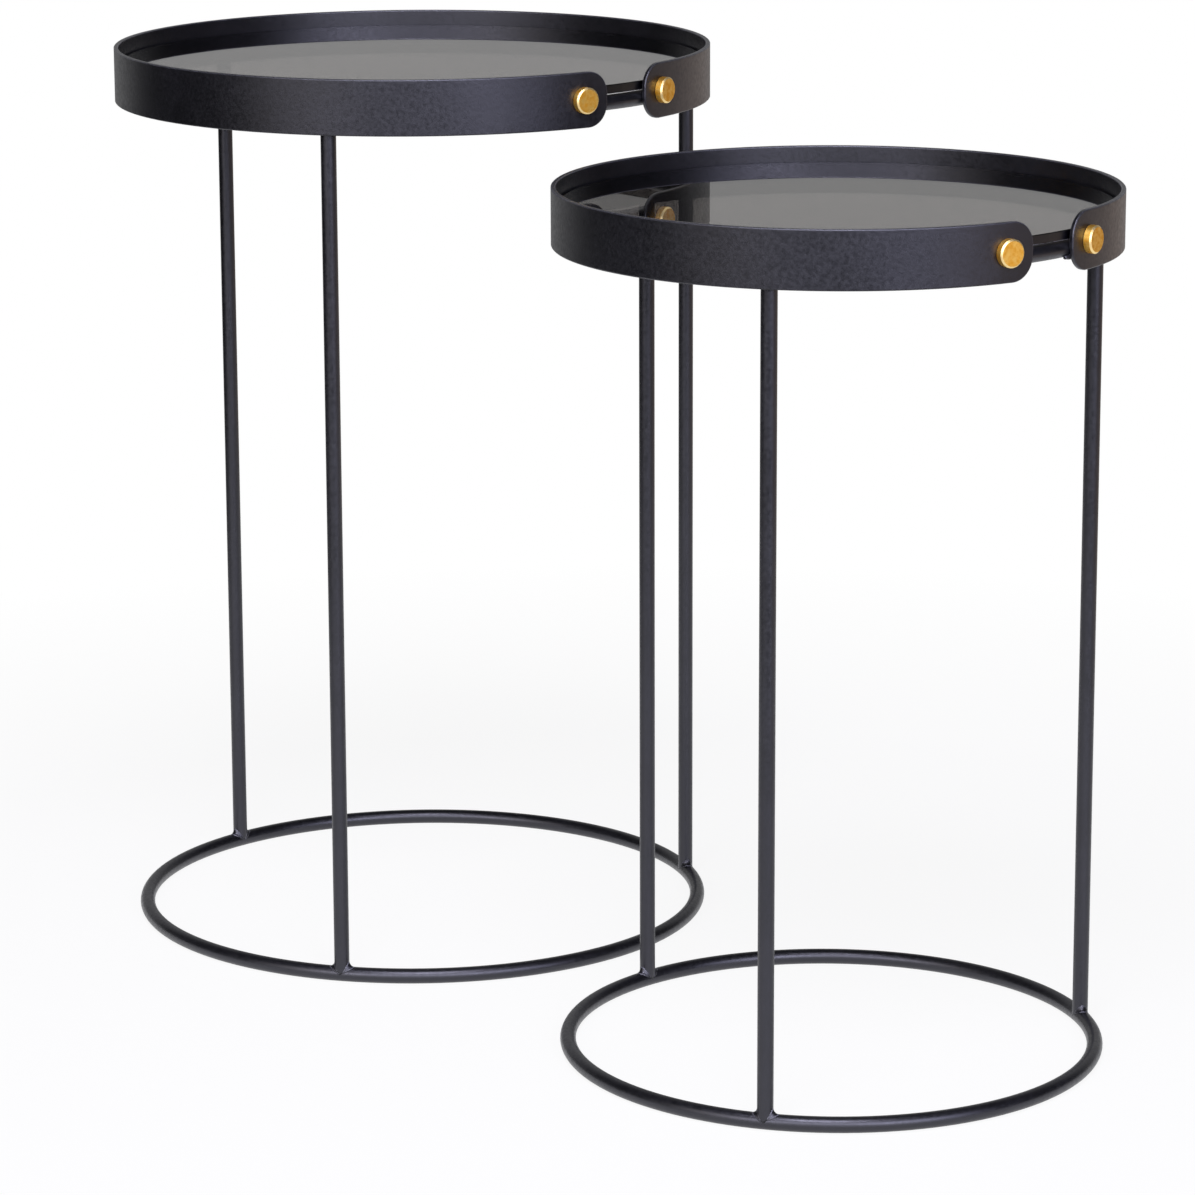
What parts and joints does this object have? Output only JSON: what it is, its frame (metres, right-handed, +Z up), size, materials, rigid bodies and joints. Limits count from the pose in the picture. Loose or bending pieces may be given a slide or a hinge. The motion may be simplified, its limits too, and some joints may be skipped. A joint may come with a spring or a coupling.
{
  "type": "nesting tables",
  "caption": "Pair of round side tables in black steel bar, each with a belted tray rim, brass studs and a smoked glass top; the shorter stands inside the taller.",
  "frame": {"origin": "on the floor, under the middle of the box round both tables as displayed", "axes": "+Z up; +X from the taller table's centre to the shorter table's centre, the way the shorter table is drawn out"},
  "size_m": [0.797, 0.4, 0.6],
  "materials": {
    "black_powder_coat": "satin",
    "brass": "polished",
    "zinc_plated_screw": "satin",
    "clear_pads": "satin",
    "smoked_glass": "polished"
  },
  "bodies": {
    "large_frame": {"large_base_ring": "black_powder_coat", "large_upper_ring": "black_powder_coat", "large_leg_left": "black_powder_coat", "large_leg_right": "black_powder_coat", "large_leg_back": "black_powder_coat", "large_belt": "black_powder_coat", "large_stud_left": "brass", "large_stud_right": "brass", "large_screw_left": "zinc_plated_screw", "large_screw_right": "zinc_plated_screw", "large_glass_pads": "clear_pads"},
    "large_glass": {"large_glass_top": "smoked_glass"},
    "small_frame": {"small_base_ring": "black_powder_coat", "small_upper_ring": "black_powder_coat", "small_leg_left": "black_powder_coat", "small_leg_right": "black_powder_coat", "small_leg_back": "black_powder_coat", "small_belt": "black_powder_coat", "small_stud_left": "brass", "small_stud_right": "brass", "small_screw_left": "zinc_plated_screw", "small_screw_right": "zinc_plated_screw", "small_glass_pads": "clear_pads"},
    "small_glass": {"small_glass_top": "smoked_glass"}
  },
  "joints": [
    {"name": "small_table_slide", "type": "slide", "parent": "large_frame", "child": "small_frame", "axis": [1, 0, 0], "range_m": [-0.04, 0.3]},
    {"name": "large_glass_lift", "type": "slide", "parent": "large_frame", "child": "large_glass", "axis": [0, 0, 1], "range_m": [0, 0.08]},
    {"name": "small_glass_lift", "type": "slide", "parent": "small_frame", "child": "small_glass", "axis": [0, 0, 1], "range_m": [0, 0.08]}
  ]
}
